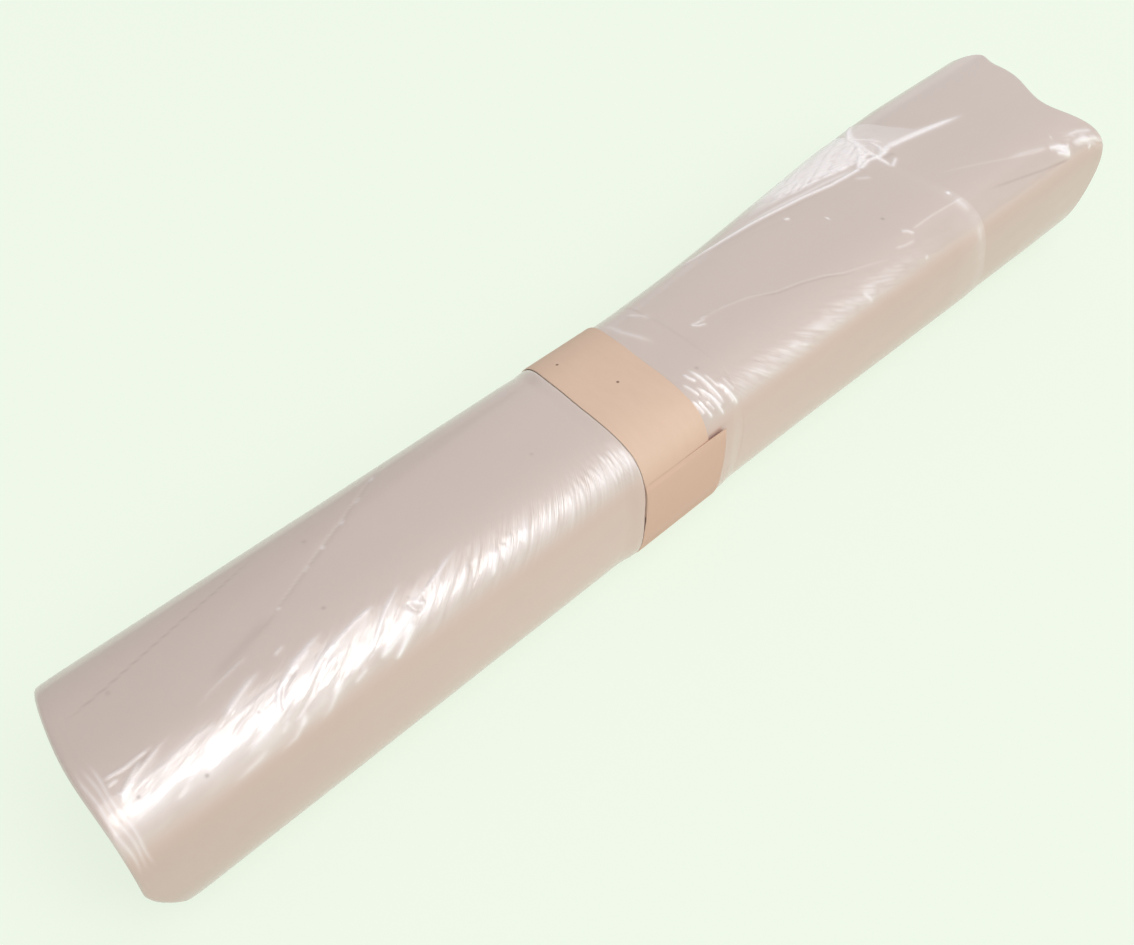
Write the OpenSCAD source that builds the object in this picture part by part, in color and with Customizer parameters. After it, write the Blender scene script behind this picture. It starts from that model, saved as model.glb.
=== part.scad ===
// Bin bag roll: one web of thin film wound flat into a soft, boxy roll, and a paper band glued round it.
// X runs along the roll, Y across it and Z up. The origin is at the middle of the bounding box's underside.

/* [Roll] */
// Length of the roll between its two furthest points
roll_length = 352; // [320:4:400]
// Height of the roll at rest
roll_height = 44; // [38:1:52]
// Half width from the winding's centre to the front face
front_half_width = 22.4; // [19:0.1:27]
// Half width from the winding's centre to the back face
back_half_width = 26.5; // [22:0.1:30]
// Squareness of the section, where 2 is an ellipse and higher is boxier
section_power = 3.3; // [2.6:0.1:4]
// Height of the flattened underside above the winding's own round
underside_sag = 0.4; // [0.3:0.05:0.5]

/* [Outer turns] */
// Height of the step at the outer turn's loose edge
tail_step = 0.3; // [0.2:0.05:0.5]
// Bare length at the far end that the outer turn leaves
bare_far_length = 73; // [61:2:91]
// How much further the outer turn's end reaches on the underside than on the top
outer_edge_lean = 16; // [6:1:20]
// Step at both ends of the loose outer turn
outer_edge_step = 0.35; // [0.2:0.05:0.6]
// Growth of the back side towards the far end
back_flare = 11.2; // [4:0.5:13]
// Growth of the front side towards the far end
front_flare = 2.4; // [1:0.2:4]
// Extra squareness of the flared back corner
flare_power = 1.6; // [0.5:0.1:2]
// Height of the long ridge on the top of the loose outer turn
ridge_height = 0.8; // [0.5:0.1:1.5]
// Angle by which the ridge drifts towards the back on its way to the band
ridge_drift = 13; // [4:1:18]
// Depth of the gathers beside the band
gather_depth = 0.5; // [0.2:0.1:0.6]
// Length over which the gathers fade out
gather_reach = 14; // [8:1:20]

/* [Ends] */
// Number of turns that show as ridges on each end
end_turns = 9; // [6:1:9]
// Depth of the groove between two turns
turn_groove = 1.4; // [0.8:0.1:2]
// How far the middle of the near end lies back from its rim
near_recess = 2.5; // [1:0.5:4]
// How far the near end's rim leans in at the back
near_lean = 8; // [4:0.5:10]
// How far the near end is undercut at the bottom
near_undercut = 8; // [4:0.5:11]
// Depth of the waves in the far end's rim
far_wave = 10.5; // [6:0.5:12]
// Number of waves round the far end's rim
far_wave_count = 3; // [2:1:4]

/* [Paper band] */
// Distance from the near end to the band's left edge
band_start = 137.4; // [125:0.2:145]
// Width of the band over the top
band_width = 22; // [20:0.5:25]
// Extra width that the band gains under the roll and up the front
band_taper = 8.5; // [4:0.5:9]
// How far the band's edges bow out on the top
band_bow = 1.8; // [0.4:0.2:2.4]
// How much fuller the roll's front is under the band
band_bulge = 0.6; // [0.2:0.1:1.4]
// Thickness of the paper
paper_thickness = 0.25; // [0.2:0.05:0.4]
// Number of facets of the roll that the glued overlap covers
overlap_facets = 5; // [3:1:7]
// Lift of the free corner at the glued overlap
corner_lift = 0.9; // [0.2:0.1:1.2]

/* [Fit] */
// Clearance between the film and the paper
band_clearance = 0.05; // [0.05:0.01:0.15]

/* [Hidden] */

facets = 72;
facet_angle = 360 / facets;
tail_angle = -35;
seam_facet = 38;
eye_scale = 0.06;
wave_peak_angle = 47;
ridge_angle = 58;
ridge_facets = 1.5;
gather_count = 18;
waist_margin = 0.6;
waist_ramp = 5;
flap_gap = 3.5;
edge_run = 0.5;

near_x = -roll_length / 2;
far_x = roll_length / 2;
band_left_x = near_x + band_start;
band_right_x = band_left_x + band_bow + band_width + band_taper;
waist_left_x = band_left_x - waist_margin;
waist_right_x = band_right_x + waist_margin;
flap_x = waist_right_x + flap_gap;
outer_end_x = far_x - bare_far_length;
flare_start_x = waist_right_x;
flare_end_x = far_x - 8;
back_full_x = far_x - 47;

half_height = (roll_height + underside_sag) / 2;
centre_z = roll_height - half_height;
centre_y = (front_half_width + front_flare - back_half_width - back_flare) / 2;

// Depth by which the band draws the film in, more on the underside so that the band clears the floor
waist_depth = 0.1;
floor_gap = 0.1;
underside_waist = underside_sag + band_clearance + paper_thickness + floor_gap;
// Height of the band's outer layer over the inner one at the glued overlap
layer_rise = paper_thickness + band_clearance;

function ease(t) = let (u = min(1, max(0, t))) u * u * (3 - 2 * u);
function signed_power(v, p) = sign(v) * pow(abs(v), p);
function mix(a, b, t) = a + (b - a) * t;

// The front grows smoothly to the far end, and the back grows faster and is full well before it
function flare_share(x) = ease((x - flare_start_x) / (flare_end_x - flare_start_x));
function back_share(x) = let (t = min(1, max(0, (x - flare_start_x) / (back_full_x - flare_start_x))))
    (t + ease(t)) / 2;
function side_width(a, x) = cos(a) > 0 ? back_half_width + back_flare * back_share(x)
    : front_half_width + front_flare * flare_share(x) + band_bulge * waist_share(x);
function side_power(a, x) = cos(a) > 0 ? section_power + flare_power * flare_share(x) : section_power;

// Point of the plain section at angle a and station x, as [y, z] from the winding's centre
function section_point(a, x) = let (p = side_power(a, x),
        r = pow(pow(abs(cos(a)) / side_width(a, x), p) + pow(abs(sin(a)) / half_height, p), -1 / p))
    [r * cos(a), r * sin(a)];

// Outward direction of the section at angle a
function section_normal(a, x) = let (p = side_power(a, x), w = side_width(a, x), q = section_point(a, x),
        ny = signed_power(q[0] / w, p - 1) / w,
        nz = signed_power(q[1] / half_height, p - 1) / half_height)
    [ny, nz] / norm([ny, nz]);

function surface_point(a, x, lift) = let (q = section_point(a, x) + section_normal(a, x) * lift)
    [x, q[0] + centre_y, q[1] + centre_z];

// Depth of the waist under the band at angle a
function waist_at(a) = mix(waist_depth, underside_waist, ease((-sin(a) - 0.72) / 0.14));
function waist_share(x) = x < waist_left_x ? 1 - ease((waist_left_x - x) / waist_ramp)
    : x > waist_right_x ? 1 - ease((x - waist_right_x) / waist_ramp) : 1;

function edge_distance(x) = max(0, waist_left_x - x, x - waist_right_x);
function gather_at(a, x) = let (d = edge_distance(x))
    d <= 0 ? 0
    : gather_depth * min(1, d / waist_ramp) * exp(-d / gather_reach) * (sin(gather_count * a) - 1) / 2;

// Long ridge with a shallow valley behind it, on the top of the loose outer turn
function ridge_at(a, x) = let (w = ridge_facets * facet_angle,
        d = (a - ridge_angle + ridge_drift * (outer_end_x - x) / (outer_end_x - flap_x)) / w)
    x < flap_x + edge_run ? 0 : x > outer_end_x ? 0
    : ridge_height * ease((x - flap_x) / 25) * ease((outer_end_x - x) / 20)
    * (max(0, 1 - abs(d)) - 0.9 * max(0, 1 - abs(d + 1.6) / 0.9));

function outer_edge_at(a) = outer_end_x + outer_edge_lean * (1 - cos(a - 90)) / 2;
function far_rim_at(a) = far_x - far_wave * (1 - cos(far_wave_count * (a - wave_peak_angle))) / 2;

// Stations along the roll: [kind, share], where the kind picks the stretch that the share runs along
stations = concat(
    [for (i = [1:9]) [0, i / 9]], [[1, 0.5], [1, 1]], [for (i = [1:3]) [2, i / 3]],
    [for (i = [1:3]) [3, i / 3]], [[4, 1]], [for (i = [1:10]) [5, i / 10]],
    [[6, 1]], [for (i = [1:5]) [7, i / 6]]);

function near_rim_at(a) = near_x + near_lean * pow((1 + cos(a)) / 2, 3) + near_undercut * ease(-1.2 * sin(a));

function station_x(s, a) = let (k = s[0], t = s[1], e = outer_edge_at(a))
    k == 0 ? mix(near_rim_at(a), waist_left_x - waist_ramp, t)
    : k == 1 ? mix(waist_left_x - waist_ramp, waist_left_x, t)
    : k == 2 ? mix(waist_left_x, waist_right_x, t)
    : k == 3 ? mix(waist_right_x, flap_x, t)
    : k == 4 ? flap_x + edge_run
    : k == 5 ? mix(flap_x + edge_run, e, t)
    : k == 6 ? e + edge_run
    : mix(e + edge_run, far_rim_at(a), t);

// The film is lower by one step where the loose outer turn doesn't reach
function bare_drop(s) = s[0] == 3 || s[0] >= 6 ? outer_edge_step : 0;

// Lift of the film's surface at station s, angle a, with the tail's spiral share w
function film_lift(s, a, w) = let (x = station_x(s, a))
    tail_step * (w - 1) - waist_share(x) * waist_at(a) + gather_at(a, x) + ridge_at(a, x) - bare_drop(s);

function ring(s) = [for (k = [0:facets]) let (a = tail_angle + k * facet_angle)
    surface_point(a, station_x(s, a), film_lift(s, a, k / facets))];

// Ends: crests of the turns run as one spiral from the eye to the rim, with a groove between turns
crest_count = facets * end_turns;
function turn_scale(i) = mix(eye_scale, 1, min(1, i / (crest_count - facets)));
function rim_share(i) = max(0, i - crest_count + facets) / facets;
function turn_jitter(i) = 0.5 * sin(i / facets * 220) * (1 - rim_share(i));

function near_depth(i, a) = let (s = turn_scale(i))
    near_recess * (1 - s) + (near_rim_at(a) - near_x) * s + abs(turn_jitter(i)) * (1 - pow(s, 4));
function far_depth(i, a) = let (s = turn_scale(i))
    mix(far_wave, far_x - far_rim_at(a), s) + turn_jitter(i) * (1 - s);

function crest_point(i, rim_x, end_lift, x) = let (a = tail_angle + i * facet_angle,
        p = surface_point(a, rim_x, end_lift - tail_step * (1 - rim_share(i))), s = turn_scale(i))
    [x, mix(centre_y, p[1], s), mix(centre_z, p[2], s)];

near_crests = [for (i = [0:crest_count]) let (a = tail_angle + i * facet_angle)
    crest_point(i, near_rim_at(a), 0, near_x + near_depth(i, a))];
far_crests = [for (i = [0:crest_count]) let (a = tail_angle + i * facet_angle)
    crest_point(i, far_rim_at(a), -outer_edge_step, far_x - far_depth(i, a))];

function groove_points(crests, sink) = [for (i = [facets:crest_count])
    (crests[i] + crests[i - facets]) / 2 + [sink, 0, 0]];

near_points = concat(near_crests, groove_points(near_crests, turn_groove),
    [[near_x + near_recess + turn_groove, centre_y, centre_z]]);
far_points = concat(far_crests, groove_points(far_crests, -turn_groove),
    [[far_x - far_wave - turn_groove, centre_y, centre_z]]);
body_points = [for (s = stations) each ring(s)];

end_size = len(near_points);
body_start = end_size;
far_start = end_size + len(body_points);
ring_size = facets + 1;
last_station = len(stations);

function crest(i, far) = (far ? far_start : 0) + i;
function groove(i, far) = (far ? far_start : 0) + crest_count + 1 + i - facets;
function eye(far) = (far ? far_start : 0) + end_size - 1;
function flip(face, far) = far ? face : [for (i = [len(face) - 1:-1:0]) face[i]];

// Vertex k of ring j, where ring 0 and the last ring are the rims of the two ends
function rim_vertex(j, k) = j == 0 ? crest(crest_count - facets + k, false)
    : j > last_station ? crest(crest_count - facets + k, true)
    : body_start + (j - 1) * ring_size + k;

function end_faces(far) = concat(
    [for (i = [facets:crest_count - 1]) each [
        flip([crest(i - facets, far), crest(i + 1 - facets, far), groove(i + 1, far)], far),
        flip([crest(i - facets, far), groove(i + 1, far), groove(i, far)], far),
        flip([groove(i, far), groove(i + 1, far), crest(i + 1, far)], far),
        flip([groove(i, far), crest(i + 1, far), crest(i, far)], far)]],
    [for (i = [0:facets - 1]) flip([eye(far), crest(i + 1, far), crest(i, far)], far)],
    [flip([eye(far), crest(0, far), groove(facets, far)], far),
        flip([eye(far), groove(facets, far), crest(facets, far)], far),
        flip([crest(crest_count - facets, far), crest(crest_count, far), groove(crest_count, far)], far)]);

wall_faces = [for (j = [0:last_station]) each concat(
    [for (k = [0:facets - 1]) each [
        [rim_vertex(j, k), rim_vertex(j + 1, k + 1), rim_vertex(j, k + 1)],
        [rim_vertex(j, k), rim_vertex(j + 1, k), rim_vertex(j + 1, k + 1)]]],
    [[rim_vertex(j, facets), rim_vertex(j + 1, 0), rim_vertex(j, 0)],
        [rim_vertex(j, facets), rim_vertex(j + 1, facets), rim_vertex(j + 1, 0)]])];

module bag_roll() {
    color([0.8, 0.74, 0.7])
    difference() {
        polyhedron(concat(near_points, body_points, far_points),
            concat(end_faces(false), end_faces(true), wall_faces), convexity = 8);
        translate([-roll_length, -roll_height * 2, -roll_height])
        cube([roll_length * 2, roll_height * 4, roll_height]);
    }
}

// Paper band: a strip that starts under the seam and runs over the top, down the back and up the front
strip_facets = facets + overlap_facets;
function strip_angle(i) = tail_angle + (seam_facet + overlap_facets - i) * facet_angle;
function strip_lift(i) = -waist_at(strip_angle(i)) + band_clearance
    + layer_rise * ease((i - facets + 3) / 3);
function strip_left_x(i) = band_left_x + band_bow * min(1, 2 - 2 * sin(strip_angle(i)));
function strip_right_x(i) = strip_left_x(i) + band_width + band_taper * ease((i / strip_facets - 0.4) / 0.5);
function free_lift(i) = corner_lift * ease((i - strip_facets + 2) / 2);

function strip_section(i) = let (a = strip_angle(i), low = strip_lift(i), high = low + paper_thickness,
        lift = free_lift(i), left = strip_left_x(i), right = strip_right_x(i))
    [surface_point(a, left, low), surface_point(a, right, low + lift),
        surface_point(a, right, high + lift), surface_point(a, left, high)];

strip_points = [for (i = [0:strip_facets]) each strip_section(i)];
strip_faces = concat([[3, 2, 1, 0]],
    [for (i = [0:strip_facets - 1], k = [0:3]) let (m = (k + 1) % 4)
        each [[i * 4 + k, i * 4 + 4 + m, i * 4 + 4 + k], [i * 4 + k, i * 4 + m, i * 4 + 4 + m]]],
    [[for (k = [0:3]) strip_facets * 4 + k]]);

module paper_band() {
    color([0.87, 0.75, 0.65])
    polyhedron(strip_points, strip_faces, convexity = 8);
}

bag_roll();
paper_band();
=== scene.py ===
import math

import bpy
import numpy as np
from mathutils import Matrix, Vector


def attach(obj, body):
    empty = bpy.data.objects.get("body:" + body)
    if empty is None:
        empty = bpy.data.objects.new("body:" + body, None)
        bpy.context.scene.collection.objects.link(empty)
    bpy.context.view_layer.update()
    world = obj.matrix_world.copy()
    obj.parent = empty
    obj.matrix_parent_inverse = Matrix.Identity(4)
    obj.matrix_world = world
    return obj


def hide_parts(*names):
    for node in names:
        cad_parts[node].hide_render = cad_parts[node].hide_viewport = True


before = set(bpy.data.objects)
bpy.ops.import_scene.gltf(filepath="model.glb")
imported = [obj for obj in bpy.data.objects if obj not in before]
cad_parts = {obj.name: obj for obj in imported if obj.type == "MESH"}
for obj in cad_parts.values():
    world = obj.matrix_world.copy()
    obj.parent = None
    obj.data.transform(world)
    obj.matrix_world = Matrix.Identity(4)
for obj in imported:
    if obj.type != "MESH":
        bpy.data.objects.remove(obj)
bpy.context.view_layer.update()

scene = bpy.context.scene
MM = 0.001
FULL_TURN = 360.0

# Sizes of the roll in mm and degrees, the same as in the part's source
LENGTH = 352.0
FRONT_WIDTH = 22.4
BACK_WIDTH = 26.5
HALF_HEIGHT = 22.2
CENTRE_Z = 21.8
POWER = 3.3
BACK_FLARE = 11.2
FRONT_FLARE = 2.4
FLARE_POWER = 1.6
CENTRE_Y = (FRONT_WIDTH + FRONT_FLARE - BACK_WIDTH - BACK_FLARE) / 2
NEAR_X = -LENGTH / 2
FAR_X = LENGTH / 2
NEAR_LEAN = 8.0
NEAR_UNDERCUT = 8.0
FAR_WAVE = 10.5
FAR_WAVE_COUNT = 3
WAVE_PEAK_ANGLE = 47.0
WAIST_LEFT = -39.2
WAIST_RIGHT = -5.7
WAIST_RAMP = 5.0
WAIST_DEPTH = 0.1
WAIST_UNDER_DEPTH = 0.8
FLARE_END = FAR_X - 8
BACK_FULL = FAR_X - 47
OUTER_END = 103.0
OUTER_LEAN = 16.0
OUTER_STEP = 0.35
TAIL_ANGLE = -35.0
TAIL_STEP = 0.3

# Sizes of the film that the source lacks or sets otherwise: far tip, waist's right side, flap, bulge, lip
FAR_TIP = 4.5
FAR_TIP_ANGLE = 37.0
FAR_TIP_SPREAD = 6.5
WAIST_MARGIN = 0.5
WAIST_RIGHT_RAMP = 8.0
FLAP_X = -1.2
FLAP_STEP = 0.06
FILM_BULGE = 0.25
LIP_DROP = 0.28

# Sizes of the paper band in mm, its angles, and its dark specks as (angle, share across)
BAND_WIDTH = 22.6
BAND_TAPER = 6.1
BAND_BULGE = 0.6
PAPER = 0.25
PAPER_GAP = 0.05
SEAM_ANGLE = 155.0
STRIP_TURN = 385.0
OVERLAP_START = 345.0
CORNER_LIFT = 0.2
BAND_SPECKS = ((55.4, 0.24), (92.6, 0.56))


def ease(t):
    u = np.clip(t, 0, 1)
    return u * u * (3 - 2 * u)


def rise(value, start, end):
    """Eases from 0 where the value is at start to 1 where it is at end, which may lie below start."""
    return ease((value - start) / (end - start))


def mix(a, b, t):
    return a + (b - a) * t


def hump(d, width):
    return np.exp(-(d / width) ** 2)


# The winding's section, by angle from the back (0) over the top (90) to the front (180)

def wrapped(phi):
    """The same angle within one turn from the underside, -90 to 270."""
    return (phi + 90) % FULL_TURN - 90


def flare_share(x):
    return rise(x, WAIST_RIGHT, FLARE_END)


def back_share(x):
    t = np.clip((x - WAIST_RIGHT) / (BACK_FULL - WAIST_RIGHT), 0, 1)
    return (t + ease(t)) / 2


def under_band(x):
    """1 between the plain places of the band's edges, down to 0 over a ramp on each side."""
    left = rise(x, WAIST_LEFT - WAIST_RAMP, WAIST_LEFT)
    right = rise(x, WAIST_RIGHT + WAIST_RAMP, WAIST_RIGHT)
    return np.minimum(left, right)


def section(phi, x):
    """Point and outward normal of the plain section at angle phi, in mm from the winding's centre."""
    a = np.radians(phi)
    c, s = np.cos(a), np.sin(a)
    share = flare_share(x)
    back = c > 0
    w = np.where(back, BACK_WIDTH + BACK_FLARE * back_share(x),
                 FRONT_WIDTH + FRONT_FLARE * share + BAND_BULGE * under_band(x))
    p = np.where(back, POWER + FLARE_POWER * share, POWER)
    r = ((np.abs(c) / w) ** p + (np.abs(s) / HALF_HEIGHT) ** p) ** (-1 / p)
    y, z = r * c, r * s
    ny = np.sign(y) * np.abs(y / w) ** (p - 1) / w
    nz = np.sign(z) * np.abs(z / HALF_HEIGHT) ** (p - 1) / HALF_HEIGHT
    n = np.hypot(ny, nz)
    return y, z, ny / n, nz / n


def waist_depth(phi):
    """Depth of the waist under the band, deeper on the underside so that the band clears the floor."""
    return mix(WAIST_DEPTH, WAIST_UNDER_DEPTH, rise(-np.sin(np.radians(phi)), 0.72, 0.86))


# Left edge of the band by angle: it lies a little askew over the top
BAND_LEFT_PHI = (-90, 0, 30, 47, 56, 66, 77, 90, 114, 126, 137, 149, 160, 200, 270)
BAND_LEFT_X = (-36.5, -34, -34, -35, -36.5, -37, -37.5, -38, -38.5, -38.5, -38, -38, -37.5, -37.5, -36.5)


def band_left(phi):
    """Left edge of the band at angle phi, softened over a few degrees."""
    angle = wrapped(phi)
    return sum(np.interp(angle + d, BAND_LEFT_PHI, BAND_LEFT_X) for d in (-7, -3, 0, 3, 7)) / 5


def band_width(turn):
    return BAND_WIDTH + BAND_TAPER * rise(turn / STRIP_TURN, 0.4, 0.9)


def band_right(phi):
    """Right edge of the band's outer layer at angle phi."""
    p = wrapped(phi)
    over_top = band_width(180 - p)
    up_front = band_width(180 - p + FULL_TURN)
    return band_left(phi) + mix(over_top, up_front, rise(p, SEAM_ANGLE - 3, SEAM_ANGLE))


def waist_share(x, phi):
    """1 where the band presses the film in, down to 0 over a ramp on each side."""
    right_at = band_right(phi) + WAIST_MARGIN
    left = rise(x, WAIST_LEFT - WAIST_RAMP, WAIST_LEFT)
    right = rise(x, right_at + WAIST_RIGHT_RAMP, right_at)
    return np.minimum(left, right)


def outer_edge(phi):
    """End of the outer bag at angle phi: it leans towards the far end on the underside."""
    return OUTER_END + OUTER_LEAN * (1 - np.cos(np.radians(phi - 90))) / 2


def near_rim(phi):
    """The near rim leans in at the back and is undercut below."""
    a = np.radians(phi)
    return NEAR_X + NEAR_LEAN * ((1 + np.cos(a)) / 2) ** 3 + NEAR_UNDERCUT * ease(-1.2 * np.sin(a))


def far_rim(phi):
    """The far rim is wavy, with a small tip at the top of the back."""
    wave = FAR_WAVE * (1 - np.cos(np.radians(FAR_WAVE_COUNT * (phi - WAVE_PEAK_ANGLE)))) / 2
    return FAR_X - wave + FAR_TIP * hump(wrapped(phi) - FAR_TIP_ANGLE, FAR_TIP_SPREAD)


def tail_lift(phi):
    """Height of the last turn, which grows by one step on the way round from its tail."""
    return TAIL_STEP * ((phi - TAIL_ANGLE) % FULL_TURN / FULL_TURN - 1)


# Slant of the film's fine wrinkles: they wind round more steeply the nearer they are to the band
SLANT_X = np.linspace(NEAR_X, FAR_X, 705)
LEFT_SLANT = np.interp(SLANT_X, [-176, -150, -125, -100, -80, -60, -46, -38],
                       [12, 18, 28, 36, 46, 58, 76, 82])
RIGHT_SLANT = np.interp(SLANT_X, [-6, 8, 30, 60, 90],
                        [58, 42, 30, 22, 14])
SLANT = np.where(SLANT_X < WAIST_RIGHT, LEFT_SLANT, -RIGHT_SLANT)
SLANT_SUM = np.cumsum(np.tan(np.radians(SLANT))) * (SLANT_X[1] - SLANT_X[0])


def flow_at(x, v):
    """A value that stays the same along each wrinkle, in mm."""
    return v + np.interp(x, SLANT_X, SLANT_SUM)


def value_noise(u, w, seed):
    """Smooth seeded noise from -1 to 1, with one random value for each unit square."""
    size = 64
    table = np.random.default_rng(seed).uniform(-1, 1, (size, size))
    i, j = np.floor(u).astype(int), np.floor(w).astype(int)
    a, b = ease(u - i), ease(w - j)
    i0, i1, j0, j1 = i % size, (i + 1) % size, j % size, (j + 1) % size
    return mix(mix(table[i0, j0], table[i1, j0], a), mix(table[i0, j1], table[i1, j1], a), b)


class Sheet:
    """A stretch of film: points at x and v, mm round from the top (front positive), and its layers."""

    def __init__(self, x, v, phi):
        self.x, self.v, self.phi = x, v, phi
        self.lift, self.veil, self.dark = np.zeros((3, *x.shape))
        self.crinkle = np.full_like(x, 0.1)

    def along(self, points, reach):
        """Box of points within reach of the line, with their distance, side and share along it."""
        pts = np.array(points, float)
        low, high = pts.min(0) - reach, pts.max(0) + reach
        box = (self.x > low[0]) & (self.x < high[0]) & (self.v > low[1]) & (self.v < high[1])
        x, v = self.x[box], self.v[box]
        seg = np.diff(pts, axis=0)
        size = np.hypot(seg[:, 0], seg[:, 1])
        start = np.concatenate([[0], np.cumsum(size)])
        best = np.full(x.shape, np.inf)
        share, side = np.zeros(x.shape), np.zeros(x.shape)
        for k, (dx, dv) in enumerate(seg / size[:, None]):
            px, pv = x - pts[k, 0], v - pts[k, 1]
            t = np.clip(px * dx + pv * dv, 0, size[k])
            d = np.hypot(px - t * dx, pv - t * dv)
            near = d < best
            best = np.where(near, d, best)
            share = np.where(near, (start[k] + t) / start[-1], share)
            side = np.where(near, pv * dx - px * dv, side)
        return box, best, side, share

    def line(self, layer, points, width, amount, kind, fade):
        """Adds a line of the given half width to one layer: a ridge, a soft swell or a one-sided fold."""
        box, d, side, share = self.along(points, width * 5 + 1)
        if not box.any():
            return
        q = d / width
        gentle, steep = np.exp(-0.55 * q), np.exp(-2.4 * q)
        shape = {"ridge": np.exp(-q ** 1.3), "soft": np.exp(-q ** 2),
                 "fold": np.where(side > 0, gentle, steep),
                 "fold_back": np.where(side < 0, gentle, steep)}[kind]
        fade_in, fade_out = np.broadcast_to(fade, 2)
        taper = ease(share / fade_in) * ease((1 - share) / fade_out)
        layer[box] += amount * taper * shape

    def crease(self, points, width, height, kind, fade):
        """Adds a line to the film's height, and paints a highlight along it where it is high."""
        self.line(self.lift, points, width, height, kind, fade)
        if height > 0.12:
            # Painted highlight along the crease
            self.line(self.veil, points, width, min(0.9, 2.4 * height), "ridge", fade)


# Routes that more than one list uses, in (x, v)
INNER_FOLD = [(-170, -7), (-160, -8.5), (-150, -10.5), (-130, -14.5), (-115, -18.5)]
LONG_RIDGE = [(29, -21.5), (40, -20.5), (50, -19.5), (60, -18), (70, -16.5), (80, -14.5),
              (86, -14), (93, -13.5)]
FRONT_STROKE = [(-153, 25.5), (-147, 24.5), (-143, 23.5)]
FRONT_FOLD = [(-112.5, 25), (-108, 22), (-105, 20)]

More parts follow.
